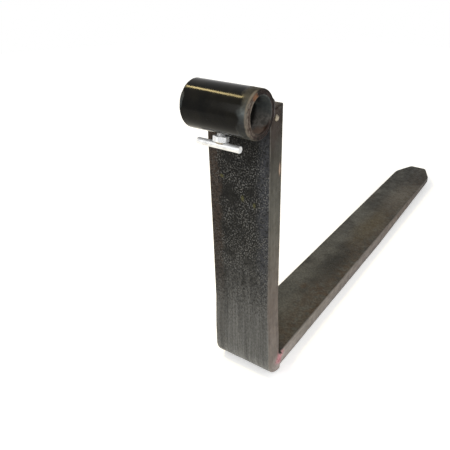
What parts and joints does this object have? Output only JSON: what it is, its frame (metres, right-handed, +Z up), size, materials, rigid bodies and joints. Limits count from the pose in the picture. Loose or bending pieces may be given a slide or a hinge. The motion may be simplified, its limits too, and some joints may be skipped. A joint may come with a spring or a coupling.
{
  "type": "loader tine",
  "caption": "Forged L-shaped loader tine with a welded hanger tube, and a locking screw with a cross bar that clamps it on a shaft.",
  "frame": {"origin": "on the hanger tube's axis, over the middle of the shank's width", "axes": "+X along the hanger tube's bore, +Y from the shank towards the blade's tip, +Z up the shank"},
  "size_m": [0.1092, 1.0364, 0.4852],
  "materials": {
    "tine_paint": "worn black paint over forged steel, with brown staining and fine specks",
    "tube_paint": "glossy black paint, scuffed and rusty at the ends",
    "painted_weld": "black paint over rippled weld, reddish brown in the low places",
    "zinc": "bright zinc plating",
    "bright_bar": "bright drawn bar",
    "bare_weld": "bare weld, tinted brown by heat"
  },
  "bodies": {
    "tine": {"forged_tine": "tine_paint", "hanger_tube": "tube_paint", "upper_weld_bead": "painted_weld", "lower_weld_bead": "painted_weld", "side_weld_bead": "painted_weld"},
    "stud": {"screw_stud": "zinc"},
    "screw_handle": {"screw_head": "zinc", "cross_bar": "bright_bar", "bar_weld_beads": "bare_weld"}
  },
  "joints": [
    {"name": "screw_feed", "type": "slide", "parent": "tine", "child": "stud", "axis": [0, 0.2079, 0.9781], "range_m": [-0.00307, 0.00176]},
    {"name": "screw_turn", "type": "hinge", "parent": "stud", "child": "screw_handle", "pos_m": [0.0022, -0.00759, -0.0357], "axis": [0, 0.2079, 0.9781], "range_deg": [-630, 360]}
  ],
  "couplings": [
    {"joint": "screw_feed", "follows": "screw_turn", "m_per_rad": 0.00027852}
  ]
}
